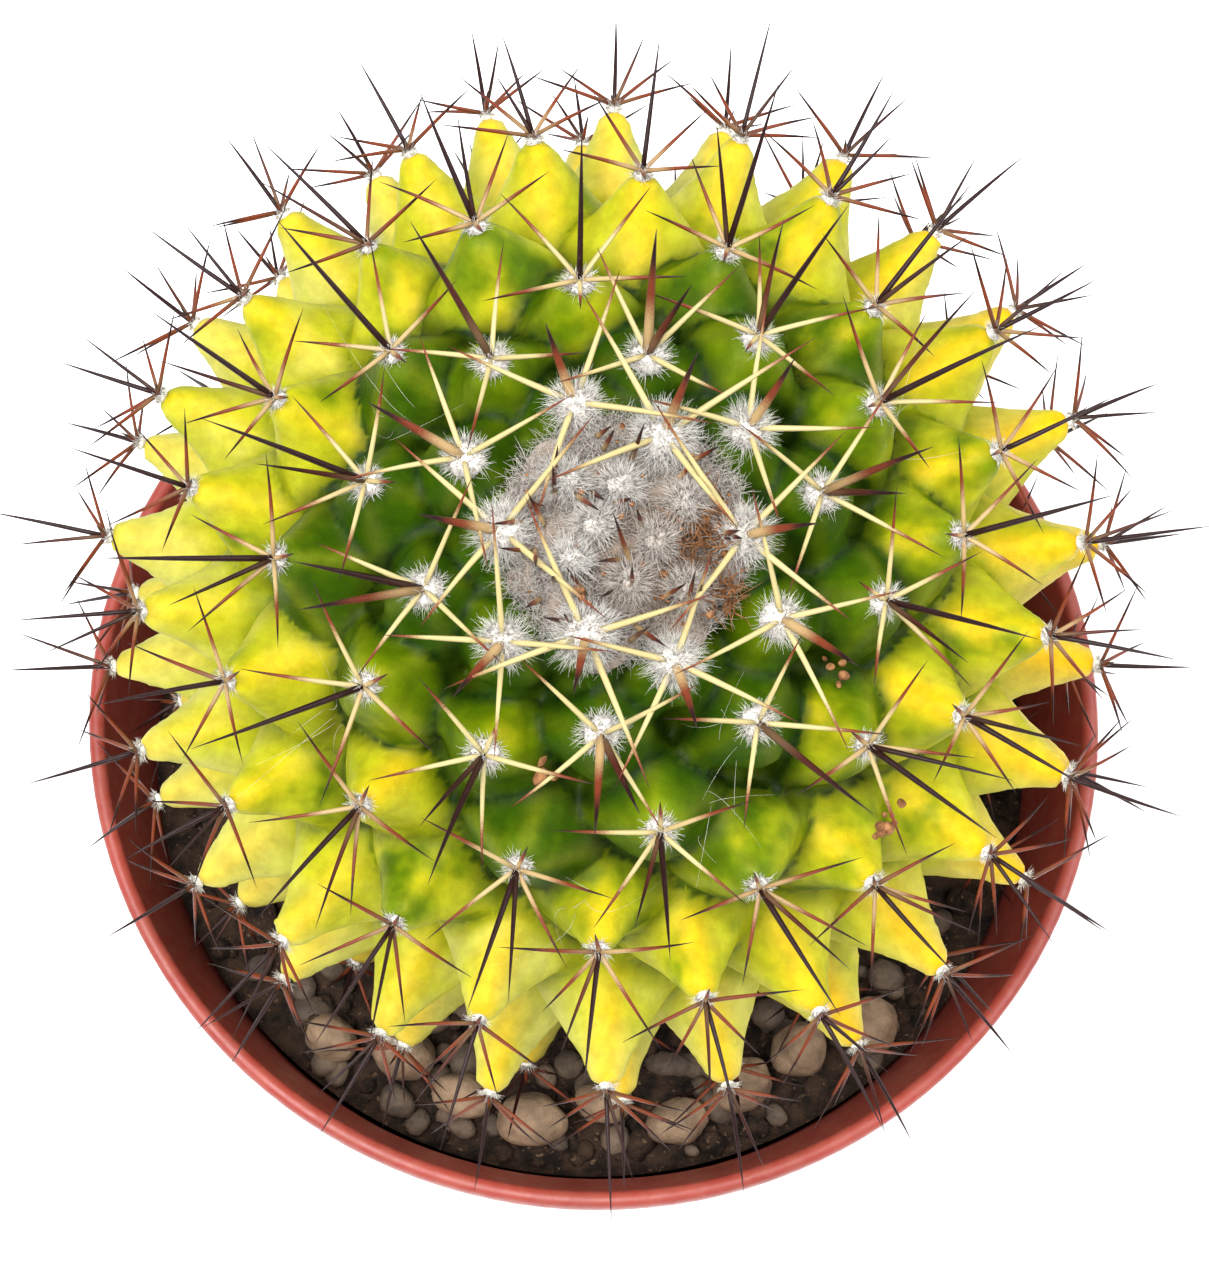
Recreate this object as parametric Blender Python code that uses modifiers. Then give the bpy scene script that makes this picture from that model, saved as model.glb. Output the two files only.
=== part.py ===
# A round cactus growing in a small plastic pot: the pot, its soil and pebbles, and the plant.
# Lengths are in metres and angles in degrees. +Z is up, and the origin is the middle of the pot's base.
import math
import random

import bmesh
import bpy
from mathutils import Matrix, Vector

# Pot
POT_HEIGHT = 0.056
RIM_RADIUS = 0.0325
BASE_RADIUS = 0.022
WALL = 0.0013
FLOOR = 0.0018
BAND_DEPTH = 0.008      # the wider band below the rim
BAND_STEP = 0.0007
DRAIN_HOLES = 6
DRAIN_RADIUS = 0.0025
DRAIN_INSET = 0.0085    # from the base's edge to the holes' middles
POT_STEPS = 44

# Soil, root and pebbles
GAP = 0.0003            # between pieces that rest on each other
SOIL_DEPTH = 0.009      # from the rim down to the soil
SOIL_CROWN = 0.0006     # the soil stands this much higher in the middle
SOIL_SHOULDER = 0.0146  # where its surface begins to fall more steeply
SOIL_SHOULDER_RISE = 0.0004
ROOT_RADIUS = 0.0055
ROOT_TIP_RADIUS = 0.0012
ROOT_TIP_RISE = 0.0079  # the root's tip above the pot's floor
SIDE_ROOTS = 4
SIDE_ROOT_RADIUS = 0.0014
SIDE_ROOT_LENGTH = 0.0125
SIDE_ROOT_TIP = 0.0004
SIDE_ROOT_FALL = 28     # below level
SIDE_ROOT_FIRST = 40
SIDE_ROOT_TURN = 97     # from one side root to the next
PEBBLES = 9
PEBBLE_SIZE = 0.0042
PEBBLE_INSET = 0.0036   # from the pot's wall to the pebbles' middles
PEBBLE_STRAY = 0.001    # how far a pebble lies off their arc
PEBBLE_FIRST = -124     # where the arc of pebbles starts, from +X
PEBBLE_SPACE = 0.00035  # between two pebbles

# Stem: a ball of tubercles round a solid core, leaning a little towards -Y
BODY_RADIUS = 0.0295    # from the ball's centre to the tubercles' tips
CORE_RISE = 0.00117     # from the soil up to the core
RIM_CLEARANCE = 0.0015  # from the rim to the tubercles' tips, at the least
LEAN = 13.27
LEAN_TURN = 4.8         # how far the lean is turned from -Y
CORE_RADIUS = 0.0205
CORE_STRETCH = 1.27     # along the stem's axis
TUBERCLE_SINK = 0.003   # how far a tubercle's foot stands inside the core
FOOT_SPREAD = 1.18      # a foot's width, as a share of the room it has
TUBERCLE_DROOP = 3.5    # a foot sits this much further from the growing point than its tip
TIP_RADIUS = 0.0015
SOIL_CLEARANCE = 0.0042 # no tubercle tip comes nearer to the soil than this
NECK_RADIUS = 0.0085
NECK_HEAD_RADIUS = 0.01
NECK_POLAR = 175        # where the neck leaves the core, from the growing point
NECK_SINK = 0.004       # the neck's head stands this far inside the core
NECK_DEPTH = 0.003      # below the soil's surface

# Growth: tubercles come in opposite pairs, each pair turned by one step from the last
PAIR_TURN = 69.016
FIRST_TURN = 249.63
PAIR_SCALE = 30         # the pair at which the polar angle below is reached
POLAR_AT_SCALE = 58.13
POLAR_START = 5.43
POLAR_POWER = 1.03
WIDEST_ANGLE = 158      # where the tubercles stop, next to the neck
CROWN_PAIRS = 4         # the youngest pairs, which are part of the woolly crown
SPINE_PAIRS = 22        # the pairs after those, whose spines are pieces of their own

# Wool and spines
PAD_RADIUS_OLD = 0.0005
PAD_RADIUS_GAIN = 0.0012    # what a new pad has more than an old one
PAD_AGE = 8                 # pairs over which the gain fades
PAD_HEIGHT = 0.55           # as a share of the pad's radius
CROWN_HEIGHT = 0.0016
CROWN_ARC = 4               # faces from the crown's middle to its edge
CROWN_STEPS = 24
RADIAL_LENGTH_OLD = 0.006
RADIAL_LENGTH_GAIN = 0.002
RADIAL_RADIUS = 0.00016
RADIAL_RISE = 24
CENTRAL_LENGTH = 0.0095
CENTRAL_RADIUS = 0.00025
CENTRAL_TILT = 26           # away from the growing point
YOUNG_PAIRS = 8             # the young pads have four spreading spines in a cross
YOUNG_SPREAD = (45, 135, 225, 315)
OLD_SPREAD = (0, 68, 140, 220, 292)

RIM_Z = POT_HEIGHT
SOIL_Z = RIM_Z - SOIL_DEPTH
NECK_BOTTOM = SOIL_Z - NECK_DEPTH
STEM_FRAME = Matrix.Rotation(math.radians(LEAN_TURN), 3, "Z") @ Matrix.Rotation(math.radians(LEAN), 3, "X")


def body_centre():
    """The ball's centre, as low as the soil and the pot's rim let it lie."""
    tilt = math.radians(LEAN)
    core_drop = CORE_RADIUS * math.hypot(CORE_STRETCH * math.cos(tilt), math.sin(tilt))
    over_soil = SOIL_Z + CORE_RISE + core_drop
    reach = BODY_RADIUS + RIM_CLEARANCE
    over_rim = RIM_Z + math.sqrt(max(0, reach**2 - (RIM_RADIUS - WALL) ** 2))
    return Vector((0, 0, max(over_soil, over_rim)))


BODY_CENTRE = body_centre()


def clear_scene():
    for old in list(bpy.data.objects):
        bpy.data.objects.remove(old, do_unlink=True)


def new_collection(name):
    made = bpy.data.collections.new(name)
    bpy.context.scene.collection.children.link(made)
    return made


def new_material(name, colour, roughness, metallic=0.0):
    made = bpy.data.materials.new(name)
    made.use_nodes = True
    made.diffuse_color = (*colour, 1.0)
    shader = made.node_tree.nodes["Principled BSDF"]
    shader.inputs["Base Color"].default_value = (*colour, 1.0)
    shader.inputs["Roughness"].default_value = roughness
    shader.inputs["Metallic"].default_value = metallic
    return made


def new_object(name, shape, collection, material=None):
    """An object from a bmesh, which is freed."""
    mesh = bpy.data.meshes.new(name)
    shape.to_mesh(mesh)
    shape.free()
    made = bpy.data.objects.new(name, mesh)
    collection.objects.link(made)
    if material:
        mesh.materials.append(material)
    return made


def new_helper(name, shape):
    made = new_object(name, shape, helpers)
    made.hide_render = True
    made.display_type = "WIRE"
    return made


def combine(target, tool, operation, tool_crosses_itself=False):
    step = target.modifiers.new(f"{operation.lower()}_{tool.name}", "BOOLEAN")
    step.operation = operation
    step.object = tool
    step.use_self = tool_crosses_itself


def turned(name, profile, collection, material, steps):
    """A solid turned about Z from (radius, height) points that run down its outer side."""
    shape = bmesh.new()
    points = [shape.verts.new((radius, 0, height)) for radius, height in profile]
    for first, second in zip(points, points[1:]):
        shape.edges.new((first, second))
    made = new_object(name, shape, collection, material)
    spin = made.modifiers.new("turn", "SCREW")
    spin.steps = spin.render_steps = steps
    spin.use_merge_vertices = True
    spin.merge_threshold = 0.00001
    return made


def pot_inner_radius(height):
    """The radius of the pot's inner wall at a height."""
    share = height / POT_HEIGHT
    return BASE_RADIUS + (RIM_RADIUS - BAND_STEP - BASE_RADIUS) * share - WALL


def make_pot():
    band_z = POT_HEIGHT - BAND_DEPTH
    wall_at_band = pot_inner_radius(band_z) + WALL
    half_wall = WALL / 2
    profile = [
        (0, FLOOR),
        (pot_inner_radius(FLOOR) - FLOOR, FLOOR),
        (pot_inner_radius(2 * FLOOR), 2 * FLOOR),
        (pot_inner_radius(POT_HEIGHT - half_wall), POT_HEIGHT - half_wall),
        (RIM_RADIUS - half_wall, POT_HEIGHT),
        (RIM_RADIUS, POT_HEIGHT - half_wall),
        (wall_at_band + BAND_STEP, band_z + BAND_STEP),
        (wall_at_band, band_z),
        (BASE_RADIUS + half_wall * 0.2, half_wall),
        (BASE_RADIUS - half_wall, 0),
        (0, 0),
    ]
    pot = turned("pot", profile, parts, clay_red, POT_STEPS)
    holes = bmesh.new()
    for index in range(DRAIN_HOLES):
        turn = Matrix.Rotation(math.tau * index / DRAIN_HOLES, 4, "Z")
        place = turn @ Matrix.Translation((BASE_RADIUS - DRAIN_INSET, 0, FLOOR / 2))
        bmesh.ops.create_cone(
            holes, cap_ends=True, segments=12, radius1=DRAIN_RADIUS, radius2=DRAIN_RADIUS,
            depth=3 * FLOOR, matrix=place,
        )
    combine(pot, new_helper("drain_hole_cutter", holes), "DIFFERENCE")


def cone_between(shape, start, end, start_radius, end_radius, segments):
    along = end - start
    place = Matrix.Translation((start + end) / 2) @ along.to_track_quat("Z", "Y").to_matrix().to_4x4()
    bmesh.ops.create_cone(
        shape, cap_ends=True, segments=segments, radius1=start_radius, radius2=end_radius,
        depth=along.length, matrix=place,
    )


def root_shapes(grow):
    """The tap root and the side roots, as two bmeshes, each made thicker and longer by grow."""
    neck = neck_head()
    top = Vector((neck.x, neck.y, NECK_BOTTOM - GAP + grow))
    tip = Vector((neck.x, neck.y, FLOOR + ROOT_TIP_RISE - grow))
    tap = bmesh.new()
    cone_between(tap, tip, top, ROOT_TIP_RADIUS + grow, ROOT_RADIUS + grow, 10)
    sides = bmesh.new()
    for index in range(SIDE_ROOTS):
        share = (index + 1) / (SIDE_ROOTS + 2)
        start = top.lerp(tip, share)
        heading = math.radians(SIDE_ROOT_FIRST + index * SIDE_ROOT_TURN)
        fall = math.radians(SIDE_ROOT_FALL)
        way = Vector((math.cos(heading) * math.cos(fall), math.sin(heading) * math.cos(fall), -math.sin(fall)))
        end = start + way * (SIDE_ROOT_LENGTH * (1 - 0.4 * share) + grow)
        cone_between(sides, start, end, SIDE_ROOT_RADIUS + grow, SIDE_ROOT_TIP + grow, 6)
    return tap, sides


def neck_shape(grow):
    """The corky foot of the stem, from inside the core down into the soil."""
    shape = bmesh.new()
    head = neck_head()
    foot = Vector((head.x, head.y, NECK_BOTTOM - grow))
    cone_between(shape, foot, head, NECK_RADIUS + grow, NECK_HEAD_RADIUS + grow, 16)
    return shape


def neck_head():
    """The middle of the neck's upper end, inside the core."""
    polar = math.radians(NECK_POLAR)
    way = STEM_FRAME @ direction(polar, math.radians(90))
    return BODY_CENTRE + way * (core_reach(polar) - NECK_SINK)


def make_root():
    tap, sides = root_shapes(0)
    root = new_object("root", tap, parts, root_tan)
    combine(root, new_helper("side_roots", sides), "UNION", tool_crosses_itself=True)


def make_soil():
    low = 2 * FLOOR
    edge_top = SOIL_Z
    profile = [
        (0, SOIL_Z + SOIL_CROWN),
        (SOIL_SHOULDER, SOIL_Z + SOIL_SHOULDER_RISE),
        (pot_inner_radius(edge_top) - GAP, edge_top),
        (pot_inner_radius(low) - GAP, low),
        (pot_inner_radius(FLOOR) - FLOOR - GAP, FLOOR + GAP),
        (0, FLOOR + GAP),
    ]
    soil = turned("soil", profile, parts, soil_brown, POT_STEPS)
    tap, sides = root_shapes(GAP)
    combine(soil, new_helper("neck_socket_cutter", neck_shape(GAP)), "DIFFERENCE")
    combine(soil, new_helper("tap_root_cutter", tap), "DIFFERENCE")
    combine(soil, new_helper("side_root_cutter", sides), "DIFFERENCE")


def soil_height(distance):
    """The soil's surface at a distance from the pot's axis."""
    edge = pot_inner_radius(SOIL_Z) - GAP
    if distance < SOIL_SHOULDER:
        return SOIL_Z + SOIL_CROWN + (SOIL_SHOULDER_RISE - SOIL_CROWN) * distance / SOIL_SHOULDER
    return SOIL_Z + SOIL_SHOULDER_RISE * (edge - distance) / (edge - SOIL_SHOULDER)


def make_pebbles():
    dice = random.Random(5)
    ring = pot_inner_radius(SOIL_Z) - PEBBLE_INSET
    step = (PEBBLE_SIZE + PEBBLE_SPACE) / ring
    for index in range(PEBBLES):
        shape = bmesh.new()
        bmesh.ops.create_icosphere(shape, subdivisions=2, radius=0.5)
        for point in shape.verts:
            point.co *= 1 + dice.uniform(-0.06, 0.06)
        length = PEBBLE_SIZE * dice.uniform(0.86, 1.08)
        sizes = Vector((length, length * dice.uniform(0.72, 0.86), length * dice.uniform(0.62, 0.76)))
        bmesh.ops.scale(shape, verts=shape.verts, vec=sizes)
        pebble = new_object(f"pebble_{index + 1}", shape, parts, pebble_tan)
        around = math.radians(PEBBLE_FIRST) + step * index
        reach = ring + PEBBLE_STRAY * math.cos(2.4 * index)
        lowest = min(point.co.z for point in pebble.data.vertices)
        pebble.location = (
            reach * math.cos(around),
            reach * math.sin(around),
            soil_height(reach - PEBBLE_SIZE / 2) + GAP - lowest,
        )
        pebble.rotation_euler.z = around + math.radians(90)


def polar_angle(pair):
    """The angle of a pair from the growing point, in radians."""
    return math.radians(POLAR_AT_SCALE) * ((pair + POLAR_START) / PAIR_SCALE) ** POLAR_POWER


def spacing(pair):
    """The side of the square of skin that one tubercle of a pair has to itself."""
    step = polar_angle(pair + 0.5) - polar_angle(pair - 0.5)
    return BODY_RADIUS * math.sqrt(math.pi * math.sin(polar_angle(pair)) * step)


def direction(polar, around):
    return Vector((math.sin(polar) * math.cos(around), math.sin(polar) * math.sin(around), math.cos(polar)))


def around_angle(pair, half):
    return math.radians(FIRST_TURN - PAIR_TURN * pair + 180 * half)


def areole_frame(pair, half, distance):
    """Where a tubercle's tip is: local Z points outwards, and local Y to the growing point."""
    polar, around = polar_angle(pair), around_angle(pair, half)
    out = direction(polar, around)
    up = -direction(polar + math.pi / 2, around)
    side = up.cross(out)
    turn = STEM_FRAME @ Matrix((side, up, out)).transposed()
    return Matrix.Translation(BODY_CENTRE + STEM_FRAME @ out * distance) @ turn.to_4x4()


def core_reach(polar):
    """The core's radius in a direction at this angle from the stem's axis."""
    across = math.sin(polar) / CORE_RADIUS
    along = math.cos(polar) / (CORE_RADIUS * CORE_STRETCH)
    return 1 / math.hypot(across, along)


def tubercle_places():
    """Every (pair, half) that has a tubercle, from the growing point outwards."""
    pair = 0
    found = []
    while polar_angle(pair) < math.radians(WIDEST_ANGLE):
        for half in (0, 1):
            tip = areole_frame(pair, half, BODY_RADIUS).translation
            if tip.z > SOIL_Z + SOIL_CLEARANCE:
                found.append((pair, half))
        pair += 1
    return found


def make_stem():
    core = bmesh.new()
    bmesh.ops.create_uvsphere(core, u_segments=20, v_segments=14, radius=CORE_RADIUS)
    bmesh.ops.scale(core, verts=core.verts, vec=(1, 1, CORE_STRETCH))
    place = Matrix.Translation(BODY_CENTRE) @ STEM_FRAME.to_4x4()
    bmesh.ops.transform(core, matrix=place, verts=core.verts)
    stem = new_object("stem", core, parts, skin_green)
    combine(stem, new_helper("stem_neck", neck_shape(0)), "UNION")
    tubercles = bmesh.new()
    for pair, half in tubercle_places():
        polar, around = polar_angle(pair), around_angle(pair, half)
        foot_polar = polar + math.radians(TUBERCLE_DROOP)
        foot_reach = core_reach(foot_polar) - TUBERCLE_SINK
        foot = BODY_CENTRE + STEM_FRAME @ direction(foot_polar, around) * foot_reach
        frame = areole_frame(pair, half, BODY_RADIUS)
        half_width = spacing(pair) / math.sqrt(2)
        foot_radius = FOOT_SPREAD * half_width * foot_reach / BODY_RADIUS
        tip_radius = min(TIP_RADIUS, 0.42 * half_width)
        tip = frame.translation
        side = frame.to_3x3() @ Vector((1, 0, 0))
        along = (tip - foot).normalized()
        up = side.cross(along).normalized() * -1
        turn = Matrix((side, up, side.cross(up))).transposed().to_4x4()
        bmesh.ops.create_cone(
            tubercles, cap_ends=True, segments=4, radius1=foot_radius, radius2=tip_radius,
            depth=(tip - foot).length, matrix=Matrix.Translation((tip + foot) / 2) @ turn,
        )
    combine(stem, new_helper("stem_tubercles", tubercles), "UNION", tool_crosses_itself=True)


def pad_radius(pair):
    return PAD_RADIUS_OLD + PAD_RADIUS_GAIN * math.exp(-pair / PAD_AGE)


def add_pad(shape, pair, frame):
    """A low woolly pad, as a tapered hexagon that stands on the tubercle's tip."""
    radius = pad_radius(pair)
    height = PAD_HEIGHT * radius
    bmesh.ops.create_cone(
        shape, cap_ends=True, segments=6, radius1=radius, radius2=radius * 0.6,
        depth=height, matrix=frame @ Matrix.Translation((0, 0, GAP + height / 2)),
    )


def add_spines(shape, pair, half, frame):
    """One central spine and four or five spreading ones, which start inside the pad."""
    dice = random.Random(100 * pair + half)
    start = Vector((0, 0, GAP + PAD_HEIGHT * pad_radius(pair) * 0.5))
    young = pair < YOUNG_PAIRS
    length = RADIAL_LENGTH_OLD + RADIAL_LENGTH_GAIN * math.exp(-pair / PAD_AGE)
    for spread in YOUNG_SPREAD if young else OLD_SPREAD:
        turn = math.radians(spread + dice.uniform(-7, 7))
        rise = math.radians(RADIAL_RISE + dice.uniform(-4, 6))
        share = 0.6 if spread == 0 else dice.uniform(0.88, 1.08)
        way = Vector((math.sin(turn) * math.cos(rise), math.cos(turn) * math.cos(rise), math.sin(rise)))
        end = start + way * length * share
        cone_between(shape, frame @ start, frame @ end, RADIAL_RADIUS, 0, 3)
    tilt = math.radians(CENTRAL_TILT + dice.uniform(-5, 5))
    lean = dice.uniform(-0.12, 0.12)
    way = Vector((lean, -math.sin(tilt), math.cos(tilt))).normalized()
    end = start + way * CENTRAL_LENGTH * dice.uniform(0.9, 1.08)
    cone_between(shape, frame @ start, frame @ end, CENTRAL_RADIUS, 0, 4)


def make_crown():
    """The woolly growing point, a lens on the youngest tips, with their pads and spines grown into it."""
    edge = polar_angle(CROWN_PAIRS) - (pad_radius(CROWN_PAIRS) + GAP) / BODY_RADIUS
    under = BODY_RADIUS + GAP
    arc = [edge * index / CROWN_ARC for index in range(CROWN_ARC + 1)]
    over = [under + CROWN_HEIGHT * (1 - 0.7 * (polar / edge) ** 2) for polar in arc]
    profile = [(reach * math.sin(polar), reach * math.cos(polar)) for polar, reach in zip(arc, over)]
    profile += [(under * math.sin(polar), under * math.cos(polar)) for polar in reversed(arc)]
    wool = turned("crown_wool", profile, parts, wool_white, CROWN_STEPS)
    wool.matrix_world = Matrix.Translation(BODY_CENTRE) @ STEM_FRAME.to_4x4()
    young = bmesh.new()
    for pair in range(CROWN_PAIRS):
        for half in (0, 1):
            frame = areole_frame(pair, half, BODY_RADIUS + GAP)
            add_pad(young, pair, frame)
            add_spines(young, pair, half, frame)
    combine(wool, new_helper("crown_spines", young), "UNION", tool_crosses_itself=True)


def make_spine_clusters():
    """One piece for each older pad: its wool with its spines."""
    number = 0
    for pair in range(CROWN_PAIRS, CROWN_PAIRS + SPINE_PAIRS):
        for half in (0, 1):
            number += 1
            pad = bmesh.new()
            add_pad(pad, pair, Matrix.Identity(4))
            cluster = new_object(f"spine_cluster_{number:02d}", pad, parts, spine_brown)
            spines = bmesh.new()
            add_spines(spines, pair, half, Matrix.Identity(4))
            helper = new_helper(f"spines_{number:02d}", spines)
            cluster.matrix_world = helper.matrix_world = areole_frame(pair, half, BODY_RADIUS)
            combine(cluster, helper, "UNION", tool_crosses_itself=True)


clear_scene()
parts = new_collection("potted_round_cactus")
helpers = new_collection("cutters_and_joins")
clay_red = new_material("clay_red_plastic", (0.45, 0.09, 0.06), 0.45)
soil_brown = new_material("soil_brown", (0.035, 0.02, 0.012), 0.95)
root_tan = new_material("root_tan", (0.35, 0.22, 0.11), 0.8)
pebble_tan = new_material("pebble_tan", (0.42, 0.33, 0.24), 0.75)
skin_green = new_material("skin_green", (0.32, 0.42, 0.03), 0.4)
wool_white = new_material("wool_white", (0.85, 0.82, 0.76), 0.95)
spine_brown = new_material("spine_brown", (0.3, 0.1, 0.05), 0.5)
make_pot()
make_soil()
make_root()
make_pebbles()
make_stem()
make_crown()
make_spine_clusters()
for made in parts.objects:
    made.data.shade_smooth()
    made.data.set_sharp_from_angle(angle=math.radians(35))
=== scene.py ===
import math
import random

import bmesh
import bpy
import numpy as np
from mathutils import Matrix, Vector, noise


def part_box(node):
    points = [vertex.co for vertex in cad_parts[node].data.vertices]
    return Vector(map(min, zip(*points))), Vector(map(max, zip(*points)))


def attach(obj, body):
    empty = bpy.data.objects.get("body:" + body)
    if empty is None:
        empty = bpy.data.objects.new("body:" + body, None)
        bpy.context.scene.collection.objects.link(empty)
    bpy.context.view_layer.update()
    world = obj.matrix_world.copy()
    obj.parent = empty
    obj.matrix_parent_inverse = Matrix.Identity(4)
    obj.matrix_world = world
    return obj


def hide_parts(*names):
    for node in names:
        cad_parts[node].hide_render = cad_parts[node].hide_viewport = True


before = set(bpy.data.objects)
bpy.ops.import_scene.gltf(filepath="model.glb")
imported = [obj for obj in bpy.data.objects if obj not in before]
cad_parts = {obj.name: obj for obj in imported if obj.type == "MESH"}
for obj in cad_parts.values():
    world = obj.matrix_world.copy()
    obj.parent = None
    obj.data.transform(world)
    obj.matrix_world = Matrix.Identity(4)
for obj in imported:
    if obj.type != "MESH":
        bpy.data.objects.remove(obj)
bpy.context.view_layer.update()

# Lengths are in metres and angles in degrees. The pot's base is centred on the origin, and +Z is up.


def report(stage):
    print(f"potted cactus: {stage}")


def mix(a, b, share):
    return a + (b - a) * share


def fade(low, high, value):
    # 0 up to low, 1 from high, and a smooth rise between them
    share = min(1, max(0, (value - low) / (high - low)))
    return share * share * (3 - 2 * share)


def scatter(dice, *spans):
    # a random vector: each span is a number, for plus or minus, or its two ends
    ends = [span if isinstance(span, tuple) else (-span, span) for span in spans]
    return Vector([dice.uniform(*both) for both in ends])


def meshOf(name, shape):
    mesh = bpy.data.meshes.new(name)
    shape.to_mesh(mesh)
    shape.free()
    return mesh


def sceneObject(name, data):
    made = bpy.data.objects.new(name, data)
    bpy.context.scene.collection.objects.link(made)
    return made


def finishPiece(name, shape, material, stands=None):
    mesh = meshOf(name, shape)
    mesh.materials.append(material)
    mesh.shade_smooth()
    piece = sceneObject(name, mesh)
    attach(piece, "root")
    if stands:
        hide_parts(stands)
    return piece


# Growth: where every tubercle stands. They come in opposite pairs, each pair turned from the last,
# and pair 0 is near the growing point.

growth = {
    "bodyRadius": 0.0295,    # from the ball's centre to the tubercles' tips
    "centre": Vector((0, 0, 0.07394)),
    "lean": 13.27,
    "leanTurn": 4.8,
    "coreRadius": 0.0205,
    "coreStretch": 1.2,
    "firstTurn": 249.63,
    "pairTurn": 69.016,
    "start": 5.43,           # how far out pair 0 is, counted in pairs
    "scalePair": 30,         # as many pairs out as this ...
    "scalePolar": 58.13,     # ... is this angle from the growing point
    "power": 1.03,
    "widest": 158,
    "soilTop": 0.047,
    "clearance": 0.0042,     # no tip comes nearer to the soil than this
    "crownPairs": 4,
    "clusterPairs": 22,
    "polarJitter": 0.8,      # no two tubercles are quite alike
    "aroundJitter": 1,
    "reachJitter": (-0.0005, 0.0004),
}
stemTurn = (
    Matrix.Rotation(math.radians(growth["leanTurn"]), 3, "Z")
    @ Matrix.Rotation(math.radians(growth["lean"]), 3, "X")
)


def polarAngle(pair):
    outward = ((pair + growth["start"]) / growth["scalePair"]) ** growth["power"]
    return math.radians(growth["scalePolar"]) * outward


def aroundAngle(pair, half):
    return math.radians(growth["firstTurn"] - growth["pairTurn"] * pair + 180 * half)


def direction(polar, around):
    flat = math.sin(polar)
    return Vector((flat * math.cos(around), flat * math.sin(around), math.cos(polar)))


def onBall(way, reach):
    return growth["centre"] + stemTurn @ way * reach


def stemPoint(polar, around, reach):
    return onBall(direction(math.radians(polar), math.radians(around)), reach)


def roomFor(pair):
    step = polarAngle(pair + 0.5) - polarAngle(pair - 0.5)
    return growth["bodyRadius"] * math.sqrt(math.pi * math.sin(polarAngle(pair)) * step)


def coreReach(polar):
    across = math.sin(polar) / growth["coreRadius"]
    along = math.cos(polar) / (growth["coreRadius"] * growth["coreStretch"])
    return 1 / math.hypot(across, along)


def areoleFrame(pair, half, reach):
    dice = random.Random(500 + 2 * pair + half)
    polarJitter, aroundJitter = growth["polarJitter"], growth["aroundJitter"]
    polar = polarAngle(pair) + math.radians(dice.uniform(-polarJitter, polarJitter))
    around = aroundAngle(pair, half) + math.radians(dice.uniform(-aroundJitter, aroundJitter))
    reach += dice.uniform(*growth["reachJitter"]) * fade(2, 12, pair)
    out = direction(polar, around)
    up = -direction(polar + math.pi / 2, around)  # towards the growing point
    turn = stemTurn @ Matrix((up.cross(out), up, out)).transposed()
    return Matrix.Translation(onBall(out, reach)) @ turn.to_4x4()


def tuberclePlaces():
    pair, found = 0, []
    while polarAngle(pair) < math.radians(growth["widest"]):
        for half in (0, 1):
            tip = areoleFrame(pair, half, growth["bodyRadius"]).translation
            if tip.z > growth["soilTop"] + growth["clearance"]:
                found.append((pair, half))
        pair += 1
    return found


places = tuberclePlaces()
oldest = max(pair for pair, half in places)


# Shader helpers: a tree of nodes, a new material, and the mottling that every material shares.

class Tree:
    def __init__(self, tree):
        self.tree = tree

    def add(self, kind, **values):
        node = self.tree.nodes.new(kind)
        for key, value in values.items():
            setattr(node, key, value)
        return node

    def put(self, socket, value):
        if isinstance(value, bpy.types.NodeSocket):
            self.tree.links.new(value, socket)
        elif isinstance(value, tuple) and len(value) == 3 and socket.type == "RGBA":
            socket.default_value = (*value, 1)
        else:
            socket.default_value = value

    def putAll(self, node, **values):
        for name, value in values.items():
            self.put(node.inputs[name.replace("_", " ")], value)

    def attribute(self, name):
        return self.add("ShaderNodeAttribute", attribute_name=name).outputs["Fac"]

    def objectCoords(self):
        return self.add("ShaderNodeTexCoord").outputs["Object"]

    def math(self, operation, a, b, clamp=False):
        node = self.add("ShaderNodeMath", operation=operation, use_clamp=clamp)
        self.put(node.inputs[0], a)
        self.put(node.inputs[1], b)
        return node.outputs[0]

    def plus(self, a, b, clamp=False):
        return self.math("ADD", a, b, clamp)

    def minus(self, a, b):
        return self.math("SUBTRACT", a, b)

    def times(self, a, b):
        return self.math("MULTIPLY", a, b)

    def between(self, value, low, high, toLow=0.0, toHigh=1.0):
        node = self.add("ShaderNodeMapRange", interpolation_type="SMOOTHSTEP")
        self.putAll(node, Value=value, From_Min=low, From_Max=high, To_Min=toLow, To_Max=toHigh)
        return node.outputs["Result"]

    def blend(self, share, a, b, mode="MIX"):
        node = self.add("ShaderNodeMix", data_type="RGBA", blend_type=mode)
        self.put(node.inputs["Factor"], share)
        self.put(node.inputs[6], a)
        self.put(node.inputs[7], b)
        return node.outputs[2]

    def noise(self, coords, scale, detail=3.0, roughness=0.55):
        node = self.add("ShaderNodeTexNoise")
        self.putAll(node, Vector=coords, Scale=scale, Detail=detail, Roughness=roughness)
        return node.outputs["Fac"]

    def bump(self, height, strength, distance):
        node = self.add("ShaderNodeBump")
        self.putAll(node, Height=height, Strength=strength, Distance=distance)
        return node.outputs["Normal"]


def newMaterial(name, roughness, specular):
    made = bpy.data.materials.new(name)
    made.use_nodes = True
    shader = made.node_tree.nodes["Principled BSDF"]
    shader.inputs["Roughness"].default_value = roughness
    shader.inputs["Specular IOR Level"].default_value = specular
    return made, Tree(made.node_tree), shader.inputs


def dressSurface(tree, sockets, colour, fine, strength, distance, roughness=None):
    tree.put(sockets["Base Color"], colour)
    tree.put(sockets["Normal"], tree.bump(fine, strength, distance))
    if roughness:
        tree.put(sockets["Roughness"], tree.between(fine, 0.3, 0.7, *roughness))


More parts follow.
